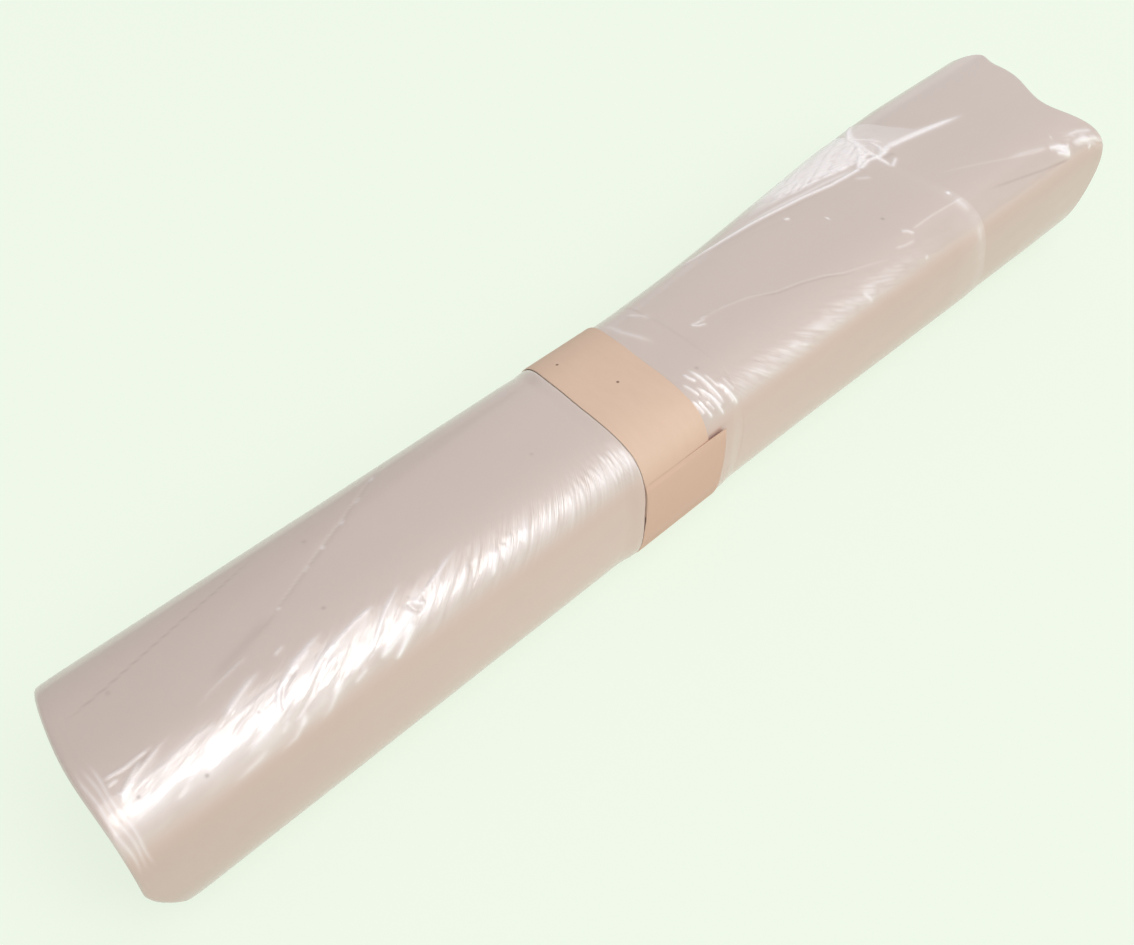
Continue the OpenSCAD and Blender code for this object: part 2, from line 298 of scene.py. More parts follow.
# Creases of the film as (points, half width, height, kind, fade), points in (x, v). The fade is the share
# of the line over which it fades in and out, or one share for each end
NEAR_CREASES = [
    (INNER_FOLD, 0.3, -0.04, "ridge", 0.1),
    ([(-140, 3.5), (-130, 1), (-120, -2.5), (-112, -6), (-101, -10.5), (-94, -14), (-84, -19.5),
      (-78, -23)], 0.5, -0.07, "ridge", (0.2, 0.05)),
    ([(-171.5, 9), (-167, 9.5), (-160, 9)], 0.32, 0.26, "ridge", (0.15, 0.3)),
    ([(-171.5, 10.5), (-168.5, 10.5)], 0.32, 0.2, "ridge", (0.3, 0.4)),
    ([(-171, 12.5), (-170, 13.5), (-166.5, 11.5), (-163.5, 10)], 0.32, 0.26, "ridge", (0.15, 0.2)),
    ([(-171, 15), (-170, 14), (-166, 12), (-160, 10), (-155.5, 9)], 0.32, 0.22, "ridge", (0.1, 0.5)),
    ([(-152, 8.5), (-146, 6.5), (-141, 5.5), (-136, 4.5)], 0.4, 0.15, "fold", (0.6, 0.15)),
    ([(-169, 14), (-160, 13.5), (-152, 12.5), (-148, 12.5)], 0.7, 0.14, "fold", 0.2),
    ([(-147.5, 13), (-144, 11.5), (-140, 10), (-135.5, 9)], 0.6, 0.3, "fold", (0.2, 0.4)),
    ([(-147.5, 15), (-143, 14), (-137, 13.5), (-133.5, 13)], 0.4, 0.16, "fold", 0.3),
    ([(-133, 8.5), (-129, 7.5)], 0.4, 0.2, "ridge", 0.4),
    ([(-139, 19.5), (-138, 17.5), (-136, 15), (-133, 13.5), (-130, 12), (-126, 11), (-121, 10)],
     0.45, 0.34, "fold", (0.15, 0.25)),
    ([(-137.5, 19), (-136.5, 17), (-134.5, 15), (-132, 14), (-129, 13)], 0.4, -0.24, "ridge", (0.1, 0.3)),
    ([(-132, 14), (-129, 12.5), (-125, 11.5)], 0.35, 0.2, "ridge", 0.3),
    ([(-133, 19.5), (-129, 16.5), (-125, 14.5), (-120, 13.5), (-115, 12.5), (-109, 12)],
     0.45, 0.34, "fold", (0.2, 0.15)),
    ([(-131.5, 19.5), (-127.5, 17), (-123.5, 15.5), (-119, 14.5)], 0.4, -0.2, "ridge", (0.2, 0.4)),
    (FRONT_STROKE, 0.9, 0.12, "soft", (0.4, 0.3)),
    ([(-146, 23), (-143, 21.5), (-140, 19.5), (-138, 18)], 1.0, 0.12, "soft", 0.3),
    ([(-142.5, 26.5), (-137.5, 25.5), (-135, 23.5), (-134, 21)], 0.6, 0.12, "soft", (0.3, 0.2)),
    ([(-132.5, 26.5), (-129, 24.5), (-126, 22), (-124.5, 20.5)], 0.6, 0.12, "soft", (0.3, 0.2)),
    ([(-138, 22.5), (-134.5, 21), (-131, 19.5), (-128, 18)], 0.6, -0.3, "soft", 0.3),
    ([(-123, 21.5), (-118, 20), (-115, 19), (-112, 16.5), (-109, 14.5), (-104, 12), (-101, 11)],
     0.4, 0.3, "fold", (0.15, 0.3)),
    ([(-121, 21.5), (-116, 20), (-112, 18), (-109, 15.5)], 0.4, -0.18, "ridge", (0.2, 0.3)),
    ([(-122.5, 23.5), (-118, 22)], 0.4, 0.16, "fold_back", 0.3),
    ([(-115.5, 22.5), (-109, 20), (-105, 18.5), (-104, 18)], 0.7, 0.34, "fold_back", (0.15, 0.05)),
    ([(-103, 17), (-98, 15.5), (-90, 13), (-85, 11.5)], 0.45, 0.3, "fold", (0.05, 0.5)),
    (FRONT_FOLD, 0.6, 0.36, "fold_back", (0.2, 0.15)),
    ([(-104, 16), (-103.5, 18), (-102, 19)], 0.45, -0.4, "ridge", 0.15),
    ([(-103, 16), (-102, 17.5), (-100.5, 18)], 0.4, 0.3, "ridge", 0.2),
    ([(-90, 22), (-88, 19.5), (-86.5, 17)], 0.6, -0.16, "soft", 0.3),
    ([(-84.5, 23), (-82, 20), (-79.5, 17.5)], 0.5, 0.36, "fold_back", 0.3),
    ([(-80.5, 21.5), (-77.5, 17.8)], 0.4, 0.3, "fold_back", 0.3),
    ([(-79, 20.5), (-75, 16.5)], 0.4, 0.24, "fold_back", 0.3),
    ([(-74, 21), (-71, 17.5)], 0.4, 0.2, "fold_back", 0.3),
    ([(-49, 15), (-48.5, 21)], 0.35, 0.14, "ridge", 0.3),
    ([(-47, 14), (-46.5, 21)], 0.3, 0.12, "ridge", 0.3),
    ([(-45, 13), (-45, 23)], 0.3, 0.2, "ridge", (0.3, 0.2)),
    ([(-44, 14), (-43.5, 22)], 0.3, 0.16, "ridge", (0.3, 0.2)),
    ([(-42.5, 13.5), (-42.5, 21.5)], 0.3, 0.2, "ridge", (0.3, 0.2)),
    ([(-41.5, 14.5), (-41, 21.5)], 0.3, 0.16, "ridge", (0.3, 0.2)),
    ([(-40, 15), (-40, 20.5)], 0.3, 0.2, "ridge", (0.3, 0.2)),
]
OUTER_CREASES = [
    ([(22, -22.5)] + LONG_RIDGE, 0.45, 0.34, "ridge", (0.06, 0.02)),
    ([(28, -18.5), (45, -16.5), (58, -13.5), (66, -11.5)], 0.8, -0.08, "soft", 0.3),
    ([(3.5, -1), (5, 0.5), (7.5, 1.5)], 0.3, 0.12, "ridge", 0.3),
    ([(7, -1), (11, -0.5), (15, 0), (23, 2), (30, 5.5), (38, 7.5), (45, 10), (50, 12.5), (57, 14.5),
      (62, 16), (68, 17.5)], 0.3, 0.12, "ridge", (0.02, 0.1)),
    ([(7, -1), (10, -0.5)], 0.35, 0.16, "ridge", (0.2, 0.5)),
    ([(70, 15.5), (74, 16.5), (79, 17)], 0.4, 0.18, "ridge", (0.2, 0.3)),
    ([(76.5, 12.5), (78.5, 13.5), (80, 15.5)], 0.45, 0.3, "ridge", 0.2),
    ([(80, 14), (90, 14), (105, 15)], 0.32, 0.16, "ridge", 0.1),
    ([(78, 23), (80, 22.5)], 0.5, 0.24, "ridge", 0.4),
    ([(65.5, -5), (66.5, -5)], 0.5, 0.22, "ridge", 0.4),
    ([(57, -13.5), (59, -12.5)], 0.4, 0.2, "ridge", 0.4),
    ([(87, -12), (92, -8.5)], 0.7, 0.12, "soft", 0.3),
    ([(101, 11.5), (103, 11)], 0.5, 0.24, "ridge", 0.4),
    ([(19, 20), (23, 21), (27, 23.5)], 0.5, 0.16, "fold_back", 0.3),
    ([(51, 20), (52.5, 22), (54, 24.5)], 0.6, 0.2, "fold_back", 0.3),
    ([(70, 20.5), (75, 22), (79, 22.5), (88, 24.5)], 0.6, 0.12, "fold_back", 0.3),
    ([(-10.5, -20), (-10.5, -12), (-9, -7), (-7.5, -2)], 0.7, 0.15, "ridge", 0.3),
    ([(-4.5, -17), (-2, -13), (-1, -10)], 0.7, 0.13, "ridge", 0.3),
]
KNOT_CREASES = [
    ([(117, -35), (110, -31), (105, -27), (103, -22), (101.5, -17), (101.5, -13), (101, -10), (100, -7)],
     0.5, 0.4, "ridge", (0.05, 0.1)),
    ([(93, -13.5), (97, -14.5), (100, -14), (103, -13.5), (109, -14.5)], 0.4, 0.36, "ridge", (0.02, 0.1)),
    ([(93, -14.5), (97, -17), (101, -20), (103, -23)], 0.45, 0.36, "ridge", 0.1),
    ([(100, -7), (103, -8.5), (106.5, -10)], 0.4, 0.16, "ridge", (0.2, 0.4)),
    ([(96, -15), (98.5, -17), (99.5, -19.5)], 0.6, 0.3, "ridge", 0.2),
    ([(105, -14), (107, -17), (107.5, -21)], 0.4, 0.3, "ridge", (0.1, 0.3)),
    ([(105, -27), (108, -22), (110, -17)], 0.5, 0.2, "ridge", 0.3),
    ([(109, -15), (113, -14.5), (120, -13.5), (128, -12), (135, -10.5), (142, -9)],
     0.8, 0.36, "ridge", (0.05, 0.4)),
]
FAR_CREASES = [
    ([(112, 16.5), (120, 18), (130, 20), (140, 22), (155, 24.5)], 0.4, -0.1, "ridge", (0.2, 0.1)),
    ([(130, 13), (138, 15), (148, 18)], 0.7, 0.14, "soft", (0.4, 0.2)),
    ([(147, 18), (150, 19), (152, 19.5), (155.5, 23.5)], 0.6, 0.45, "fold_back", 0.15),
    ([(149, 20.5), (152, 22), (155.5, 24)], 0.5, 0.35, "ridge", (0.2, 0.15)),
    ([(152.5, 20), (155, 21), (156.5, 20)], 0.5, 0.3, "ridge", (0.2, 0.3)),
    ([(151, 15.5), (152, 16)], 0.6, 0.25, "ridge", 0.4),
    ([(158, 20.5), (165, 22.5), (172, 25)], 0.7, 0.3, "fold_back", (0.3, 0.2)),
    ([(165, 25.5), (167, 25)], 0.6, 0.35, "ridge", 0.3),
    ([(156, 18), (163, 19), (170, 21.5)], 0.6, 0.25, "fold", (0.3, 0.2)),
]
# Dark lines of inner folds that show through the film, and painted shade behind the long ridge and beside
# the band's right edge, as (points, half width, amount, fade)
DARK_LINES = [
    (INNER_FOLD, 0.22, 0.22, (0.1, 0.3)),
    ([(-127, 0), (-120, -2.5), (-112, -6), (-101, -10.5), (-94, -14), (-84, -19.5), (-78, -23)],
     0.35, 0.12, 0.1),
    ([(-146, 5.5), (-140, 3.5), (-133, 1.5), (-125, -0.5)], 1.3, 0.12, 0.3),
    ([(-166, 11), (-164, 10.5), (-161, 9.5)], 0.3, 0.2, 0.3),
    ([(23, 2.8), (30, 6.3), (38, 8.3), (45, 10.8), (50, 13.3), (57, 15.3)], 0.35, 0.18, (0.2, 0.3)),
    # Painted shade in the valley behind the long ridge
    ([(24, -20), (40, -18.5), (60, -16.5), (80, -13)], 0.6, 0.06, (0.3, 0.2)),
    # Painted shadow beside the band's right edge
    ([(-14.5, -16), (-15.5, -6), (-16, 4), (-15.5, 14)], 0.5, 0.2, 0.2),
    ([(-1.5, -18), (-1, -8), (-1.5, 4), (-1.5, 15)], 0.4, 0.06, (0.2, 0.3)),
    ([(112, 17), (120, 18.5), (130, 20.5), (140, 22.5), (155, 25)], 0.35, 0.2, (0.3, 0.1)),
    ([(102.5, -12), (106, -12), (108, -11)], 0.8, 0.2, (0.2, 0.3)),
]
# Pale strokes where loose film lies double or is stretched white, and painted glints on creases and in the
# shoulder's highlight, as (points, half width, amount, fade)
PALE_AND_GLINT_LINES = [
    (FRONT_STROKE, 0.6, 0.4, (0.5, 0.3)),
    ([(-143, 26.5), (-138, 25.5), (-135, 23.5), (-133.5, 21)], 0.55, 0.5, (0.6, 0.2)),
    ([(-136, 24.5), (-134.5, 22)], 0.9, 0.3, 0.4),
    ([(-133, 26.5), (-129, 24.5), (-126, 22), (-124, 19.5)], 0.55, 0.5, (0.6, 0.2)),
    ([(-127, 23), (-125, 20.5)], 0.9, 0.3, 0.4),
    ([(-148, 22), (-143, 20.5), (-139, 18.5)], 0.7, 0.35, 0.3),
    ([(-150, 19.5), (-144, 18.5)], 0.6, 0.25, 0.3),
    ([(-140, 23), (-137.5, 21)], 0.5, 0.3, 0.3),
    ([(-123, 23.5), (-118, 22)], 0.5, 0.25, 0.3),
    ([(-115.5, 22.5), (-109, 20), (-104, 18)], 0.8, 0.45, (0.3, 0.1)),
    (FRONT_FOLD, 0.5, 0.45, (0.3, 0.1)),
    ([(-125, -1), (-112, -6.5), (-101, -11), (-94, -14.5), (-84, -20)], 0.25, 0.14, 0.05),
    ([(-125.5, 0), (-124, -1)], 0.3, 0.5, 0.4),
    ([(-115.5, -4.5), (-113, -5.5)], 0.25, 0.4, 0.4),
    ([(-109, -7), (-107.5, -8)], 0.35, 0.7, 0.4),
    ([(-102, -10), (-99.5, -11)], 0.28, 0.6, 0.4),
    ([(-96, -13), (-92.5, -14.5)], 0.28, 0.5, 0.4),
    ([(-88.5, -17), (-86, -18.5)], 0.32, 0.7, 0.4),
    ([(117, -36), (109, -29), (104.5, -24), (102.5, -19), (101.5, -13), (101, -8)], 0.5, 1.5, (0.05, 0.1)),
    ([(92, -13.5), (97, -16), (101, -19), (105, -22)], 0.5, 1.4, (0.1, 0.2)),
    ([(93, -13.5), (98, -14.5), (103, -13.5), (107, -14)], 0.5, 1.2, (0.1, 0.2)),
    ([(103, -13.5), (109, -15), (116, -14), (125, -12.5), (135, -10.5), (143, -9)], 0.6, 1.3, (0.1, 0.5)),
    ([(103, -19), (105, -24), (108, -28)], 1.2, 0.35, 0.3),
    ([(100.5, -7.5), (103, -8.5), (106.5, -10)], 0.45, 0.7, (0.2, 0.3)),
    (LONG_RIDGE, 0.4, 0.7, (0.1, 0.02)),
    ([(57, -13.5), (59, -12.5)], 0.5, 0.8, 0.4),
    ([(65.5, -5), (66.5, -5)], 0.5, 0.9, 0.4),
    ([(87, -12), (89.5, -10), (92, -8)], 0.7, 0.35, 0.3),
    ([(101, 11.5), (103, 11)], 0.5, 0.7, 0.4),
    ([(101.5, 13.5), (102.5, 17), (103, 20)], 1.3, 0.4, (0.3, 0.4)),
    ([(104, 24), (105, 28), (106, 31)], 1.0, 0.25, (0.3, 0.4)),
    ([(3.5, -1), (6, -0.5), (8.5, 0)], 0.28, 0.7, (0.2, 0.3)),
    ([(3.5, -1), (5, 0.5), (7.5, 1.5)], 0.32, 0.8, (0.2, 0.3)),
    ([(45, -21.5), (60, -19.5), (72, -17.5), (80, -16.5), (91, -14.5)], 0.5, 0.4, (0.3, 0.1)),
    ([(7, -1), (15, 0), (23, 2), (30, 5.5), (38, 7.5), (45, 10), (50, 12.5), (57, 14.5), (68, 17.5)],
     0.28, 0.2, 0.1),
    ([(106, 3), (118, 8), (130, 13), (140, 16.5), (147, 18)], 0.35, 0.18, (0.3, 0.1)),
]
# Specks of dirt on the film, as (x, v, radius, amount)
SPECKS = [
    (-168, 15.8, 0.4, 0.6), (-156, 20.3, 0.4, 0.6), (-141.5, 16.2, 0.35, 0.4), (-118, 5.8, 0.4, 0.35),
    (-110, -12, 0.5, 0.25), (-160.5, -7, 0.5, 0.2), (-103, 15, 0.3, 0.3), (-88, 17, 0.4, 0.2),
    (-57, 3.8, 0.4, 0.25), (77, 6, 0.5, 0.5), (-7, 10.5, 0.5, 0.35),
]
# Gathers of the film that come out from under the band, as (points, half width, height)
GATHERS = [
    ([(-15, 16.5), (-14.5, 18.5), (-14, 21.5)], 0.38, 0.34),
    ([(-13.5, 17), (-13, 20), (-12, 23.5)], 0.36, 0.36),
    ([(-14, 11.5), (-13, 14), (-12, 17)], 0.32, 0.2),
    ([(-11.5, 9.5), (-11, 11.5), (-10, 13.5)], 0.36, 0.3),
    ([(-11.5, 14), (-10, 18), (-9, 22), (-8, 25)], 0.36, 0.4),
    ([(-9.5, 9), (-8.5, 13), (-8, 17), (-7, 22.5)], 0.42, 0.38),
    ([(-10, 17), (-9, 20), (-8, 22.5)], 0.32, 0.3),
    ([(-11.5, 18.5), (-11, 20.5), (-10.5, 22)], 0.3, 0.24),
    ([(-6, 16), (-4.5, 19), (-3.5, 22), (-2.5, 25)], 0.5, 0.34),
    ([(-5, 19), (-4.5, 21.5), (-4, 23.5)], 0.4, 0.22),
    ([(-3.5, 16), (-3, 18.5), (-2, 21)], 0.45, 0.16),
    ([(-7, 12.5), (-6.5, 15), (-6, 18)], 0.34, 0.16),
]


def fin_zone(x, v):
    """Loose pale film between the long ridge and the back corner."""
    edge = np.interp(x, [22, 62, 93], [-23.5, -20.5, -15.5])
    end = np.interp(v, [-35, -31, -27, -22, -13], [117, 110, 105, 103, 101.5])
    return rise(x, 30, 75) * ease((edge - v) / 1.5) * rise(v, -47, -34) * ease((end - x) / 1.5)


def ray_zone(x, v):
    """Pale wedge of film that narrows from the knot towards the far end."""
    low = np.interp(x, [103, 113, 143], [-13, -13.5, -8.5])
    high = np.interp(x, [103, 116, 119, 123, 130, 143], [-42, -37, -24, -17, -13.5, -9.5])
    back_fade = rise(v, -47, -34)
    return back_fade * ease((low - v) / 1.2) * ease((v - high) / 3) * rise(x, 101, 105) * rise(x, 146, 110)


def wrinkles(sheet, weight, along=12.0, across=3.2):
    """Lifts slanting folds with sharp creases between them, and returns how pale each spot is."""
    flow = flow_at(sheet.x, sheet.v)
    bend = 0.8 * value_noise(sheet.x / 14, flow / 9, seed=40)
    broad = np.abs(value_noise(sheet.x / along, flow / across + bend, seed=41))
    fine = np.abs(value_noise(sheet.x / (along * 0.5), flow / (across * 0.45) + bend, seed=42))
    steep = np.cos(np.radians(np.interp(sheet.x, SLANT_X, SLANT)))
    sheet.lift += weight * steep * (0.36 * broad + 0.12 * fine)
    return 0.6 * broad + 0.8 * fine - 0.45


def near_shoulder(sheet, x, v):
    """Slanting wrinkles on the near shoulder, calmer towards the near end, with painted highlight streaks
    along the shoulder.
    """
    lobe_middle = mix(17.5, 19.5, rise(x, -130, -60))
    lobe_width = mix(5.5, 4.2, rise(x, -115, -75))
    lobe = hump(v - lobe_middle, lobe_width) * rise(x, -172, -166) * rise(x, -38.5, -40.5)
    calm = np.interp(x, [-176, -158, -140, -114, -100, -60, -40], [0.1, 0.2, 0.4, 0.5, 0.9, 0.75, 0.4])
    streaks = wrinkles(sheet, lobe * calm)
    # Painted highlight streaks in the shoulder's highlight
    sheet.veil += 0.55 * streaks * lobe * rise(x, -125, -100)
    sheet.crinkle += lobe * mix(0.5, 1.0, rise(x, -160, -130))


def near_loose_film(sheet, x, v):
    """Mottle of the loose film by the near end with a painted highlight mottle on the shoulder, and painted
    highlights on the edges of the last turns beside the rim.
    """
    slanted = v + 0.3 * x
    mottle = 0.65 * value_noise(x / 6.5, slanted / 2.6, seed=43)
    mottle += 0.35 * value_noise(x / 3.1, slanted / 1.3, seed=44)
    loose = hump(v - 18.5, 5) * rise(x, -172, -167) * rise(x, -84, -124)
    sheet.lift += 0.3 * loose * mottle
    # Painted highlight: pale mottle on the shoulder
    sheet.veil += 0.25 * loose * mottle
    rim = x - near_rim(sheet.phi)
    shoulder = rise(v, 3, 9) * rise(v, 32, 24)
    for at in (1.5, 2.9, 4.1):
        # Painted highlights on the edges of the last turns, on the shoulder only
        sheet.veil += 0.45 * hump(rim - at - 0.2 * np.sin(v * 0.5 + at), 0.32) * shoulder


def near_painted_highlight(sheet, x, v):
    """Painted highlight along the near shoulder, brightest by the near end."""
    middle = mix(17.5, 19.5, rise(x, -130, -70))
    upper = mix(4.5, 3.0, rise(x, -120, -80))
    amount = mix(0.5, 0.24, rise(x, -125, -90)) * rise(x, -173, -169)
    sheet.veil += amount * hump(v - middle, np.where(v < middle, upper, 2.8))
    sheet.veil += 0.3 * hump(v - 23 + 0.1 * (x + 140), 2.6) * hump(x + 132, 22)
    sheet.veil += 0.42 * hump(v - 20, 2.6) * hump(x + 156, 16)
    sheet.veil += 0.15 * hump(v - 20.2, 2.2) * rise(x, -108, -96)


def ripples_by_band(sheet, x, v):
    """Small even ripples on the shoulder where the film runs in under the band."""
    ripple = hump(v - 18.5, 4.0) * rise(x, -62, -46) * rise(x, -39, -40.5)
    sheet.lift += 0.055 * ripple * np.sin(x * 3.6 + 0.25 * v + 1.4 * np.sin(v * 0.6))


def outer_shoulder(sheet, x, v):
    """Fine wrinkles on the outer bag's shoulder, and a streaked painted highlight along it, which fade
    towards its end.
    """
    lobe = hump(v - 20.5, 4.0) * rise(x, -4, 2) * rise(x, 96, 66)
    streaks = wrinkles(sheet, 0.45 * lobe, 9.0, 2.2)
    sheet.crinkle += 0.8 * lobe
    # Painted highlight band on the shoulder
    sheet.veil += (0.3 + 0.5 * streaks) * hump(v - 20.7, 2.8) * rise(x, -4, 2) * rise(x, 90, 50)


def loose_fin(sheet, x, v):
    """The loose pale film at the back of the outer bag, crumpled along the long ridge."""
    fin = fin_zone(x, v)
    seen = rise(v, -32, -26)
    streaks = np.abs(value_noise(x / 13 - v / 9, v / 1.9 + x / 5.1, seed=51))
    crumples = np.abs(value_noise(x / 4 + v / 5, v / 1.3 - x / 7, seed=52))
    near_ridge = rise(x, 52, 66) * hump(v + 20 - 0.16 * (x - 70), 3)
    sheet.lift += fin * seen * (0.35 * streaks + 0.4 * near_ridge * crumples)
    # The fin is paler as loose film, with painted sheen in it that stands in for glints
    paleness = 0.68 + 0.55 * streaks + 0.3 * crumples + near_ridge * (crumples - 0.3)
    sheet.veil += fin * rise(x, 40, 75) * paleness
    over_ridge = v - np.interp(x, [22, 50, 70, 93], [-22.5, -19.5, -16.5, -13.5]) + 1.6
    sheet.veil += 0.28 * hump(over_ridge, 1.3) * rise(x, 45, 65) * rise(x, 95, 90)
    sheet.crinkle += 0.9 * fin


def flap_and_lip(sheet, x, v):
    """The edge of the flap beside the band, and the lip at the end of the outer bag."""
    flap = FLAP_X + 0.6 * np.sin(v * 0.21)
    sheet.lift -= FLAP_STEP * rise(x, flap + 0.6, flap)
    lip = outer_edge(sheet.phi) - x
    uneven = 0.75 + 0.25 * np.sin(v * 0.9) * np.sin(v * 0.37 + 1)
    side = mix(0.15, 1.0, rise(v, 2, 16)) * rise(v, -8, -2) * rise(v, 50, 28) * uneven
    sheet.lift -= LIP_DROP * rise(lip, 8, 0)
    sheet.veil += 0.17 * hump(lip - 2.0, 2.8) * side
    sheet.veil += 0.06 * rise(x, 92, 100) * rise(v, 14, 19) * rise(v, 55, 41)


def painted_shade_tone(x, v):
    """Painted shade on the film: darker low on the front near both ends, and on the near top."""
    front = np.interp(x, [-176, -120, -60, 0, 60, 120, 176], [0.18, 0.05, 0, 0.03, 0.12, 0.17, 0.2])
    top = np.interp(x, [-170, -120, -76, -10], [0.055, 0.045, 0.025, 0]) * hump(v + 2, 11)
    return front * rise(v, 22, 31) + top


def far_corner(sheet, x, v):
    """The far bag: it lies a step lower, and its front corner is crumpled."""
    down = v - 21.5 - 0.42 * (x - 162)
    corner = hump(down, 2.2) * rise(x, 153, 160) * rise(v, 12, 18)
    sheet.lift -= OUTER_STEP
    crumples = np.abs(value_noise(x / 4, down / 1.3, seed=61))
    sheet.lift += corner * (0.3 * crumples + 0.16 * np.abs(value_noise(x / 1.8, down / 0.8, seed=62)))
    sheet.veil += corner * (0.05 + 0.65 * crumples)
    sheet.veil += 0.8 * hump(x - 152.5, 2.8) * hump(v - 21 - 0.6 * (x - 152.5), 1.5)
    sheet.crinkle += corner


def knot(sheet, x, v):
    """The knot of loose film at the back, where the fin ends and the pale ray starts."""
    middle = hump(x - 103, 7) * hump(v + 18, 8.5)
    patch = hump(x - 98.5, 3) * hump(v + 16.5 + 0.8 * (x - 98.5), 1.8)
    ray = ray_zone(x, v)
    sheet.lift += middle * (0.25 + 0.35 * np.abs(value_noise(x / 5 + v / 7, v / 3.5 - x / 9, seed=71)))
    sheet.veil += 0.1 * middle + 0.4 * patch + 0.34 * ray
    sheet.crinkle += middle + 0.5 * ray


def gathers_by_band(sheet, x, v):
    """Ridges of gathered film that come out from under the band's right edge, with painted highlights along
    them.
    """
    gather = np.zeros_like(x)
    for points, width, height in GATHERS:
        sheet.line(gather, points, width, height, "ridge", (0.25, 0.2))
    shown = rise(x - band_right(sheet.phi), 0.1, 0.6)
    sheet.lift += gather * shown
    # Painted highlights on the gathered ridges
    sheet.veil += 3.2 * gather * shown
    sheet.crinkle += 0.6 * hump(x + 8, 6) * hump(v - 18, 6)


# The creases of each zone of the film, and the functions that shape and paint the rest of it
ZONE_CREASES = {"left": NEAR_CREASES,
                "right": OUTER_CREASES + KNOT_CREASES,
                "far": FAR_CREASES + KNOT_CREASES}
ZONE_DETAILS = {"left": (near_shoulder, near_loose_film, near_painted_highlight, ripples_by_band),
                "right": (outer_shoulder, loose_fin, flap_and_lip, knot),
                "far": (far_corner, knot)}


def laid_lines(sheet, zone):
    """The creases, dark lines, pale strokes and specks that are listed one by one."""
    for crease in ZONE_CREASES[zone]:
        sheet.crease(*crease)
    for points, width, amount, fade in DARK_LINES:
        sheet.line(sheet.dark, points, width, amount, "soft", fade)
    for points, width, amount, fade in PALE_AND_GLINT_LINES:
        sheet.line(sheet.veil, points, width, amount, "ridge", fade)
    for at_x, at_v, radius, amount in SPECKS:
        sheet.dark += amount * hump(np.hypot(sheet.x - at_x, sheet.v - at_v), radius)


def film_form(sheet, zone):
    """Height of the film over the plain section in mm, with its painted layers."""
    x, v, phi = sheet.x, sheet.v, sheet.phi
    laid_lines(sheet, zone)
    # Painted shade low on the front near both ends and on the near top
    sheet.dark += painted_shade_tone(x, v)
    for add_details in ZONE_DETAILS[zone]:
        add_details(sheet, x, v)
    sheet.lift += 0.06 * value_noise(x / 30, v / 16, seed=81) + 0.02 * value_noise(x / 9, v / 6, seed=82)
    pressed = waist_share(x, phi)
    sheet.lift *= 1 - pressed
    if zone == "right":
        gathers_by_band(sheet, x, v)
    sheet.lift += tail_lift(phi) - pressed * waist_depth(phi)
    beside = band_left(phi) - x
    sheet.lift += FILM_BULGE * rise(beside, 0, 0.26) * rise(beside, 4.5, 0.5)
    # Painted light in the groove beside the band's left edge, which offsets its shade
    sheet.veil += 0.25 * hump(beside - 0.1, 0.35)


def new_object(name, verts, faces, mats, body="root"):
    """Smooth mesh object from points in mm, which rides on the given body."""
    mesh = bpy.data.meshes.new(name)
    mesh.from_pydata((np.asarray(verts) * MM).tolist(), [], [list(map(int, f)) for f in faces])
    mesh.update()
    mesh.polygons.foreach_set("use_smooth", np.full(len(mesh.polygons), True))
    ob = bpy.data.objects.new(name, mesh)
    scene.collection.objects.link(ob)
    for mat in mats:
        mesh.materials.append(mat)
    if body:
        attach(ob, body)
    return ob


def paint(ob, **layers):
    """Stores one value per vertex for each layer, for the materials to read."""
    for key, values in layers.items():
        layer = ob.data.attributes.new(key, "FLOAT", "POINT")
        layer.data.foreach_set("value", np.asarray(values, np.float32).reshape(-1))


def grid_faces(rows, cols, flip=False):
    """Faces of a grid whose columns close to a loop."""
    i = np.arange(rows - 1)[:, None]
    j = np.arange(cols)[None]
    j2 = (j + 1) % cols
    q = np.stack([i * cols + j, i * cols + j2, (i + 1) * cols + j2, (i + 1) * cols + j], -1).reshape(-1, 4)
    return q[:, ::-1] if flip else q


def spread(*parts):
    """Values that run through (start, end, count) stretches, with no value twice."""
    out = [np.linspace(lo, hi, n, endpoint=False) for lo, hi, n in parts]
    return np.concatenate(out + [[parts[-1][1]]])


def way_round(x, end_angle):
    """Fine table of angles from the top to the end angle, with the way round to each in mm."""
    phi = np.linspace(90, end_angle, 721)
    y, z, _, _ = section(phi, np.full_like(phi, x))
    return phi, np.concatenate([[0], np.cumsum(np.hypot(np.diff(y), np.diff(z)))])


# Spreads of points round the roll run in mm up to the second mark, and from there to the underside
PLAIN_X = -100.0
FRONT_MARKS = (0, 30, 80)
BACK_MARKS = (0, 36, 90)


def ring_table(x_rows, front, back):
    """Angles and ways round, v, of each row's points, down to the underside on both sides."""
    front_phi, front_way = way_round(PLAIN_X, 270)
    v_front = np.interp(front, FRONT_MARKS, [0, FRONT_MARKS[1], front_way[-1]])[:-1]
    n, m = len(v_front), len(back) - 1
    phi, v = np.empty((len(x_rows), n + m)), np.empty((len(x_rows), n + m))
    phi[:, :n] = np.interp(v_front, front_way, front_phi)
    v[:, :n] = v_front
    for k, x in enumerate(x_rows):
        back_phi, back_way = way_round(x, -90)
        v_back = np.interp(back, BACK_MARKS, [0, BACK_MARKS[1], back_way[-1]])[:0:-1]
        phi[k, n:] = np.interp(v_back, back_way, back_phi)
        v[k, n:] = -v_back
    return phi, v


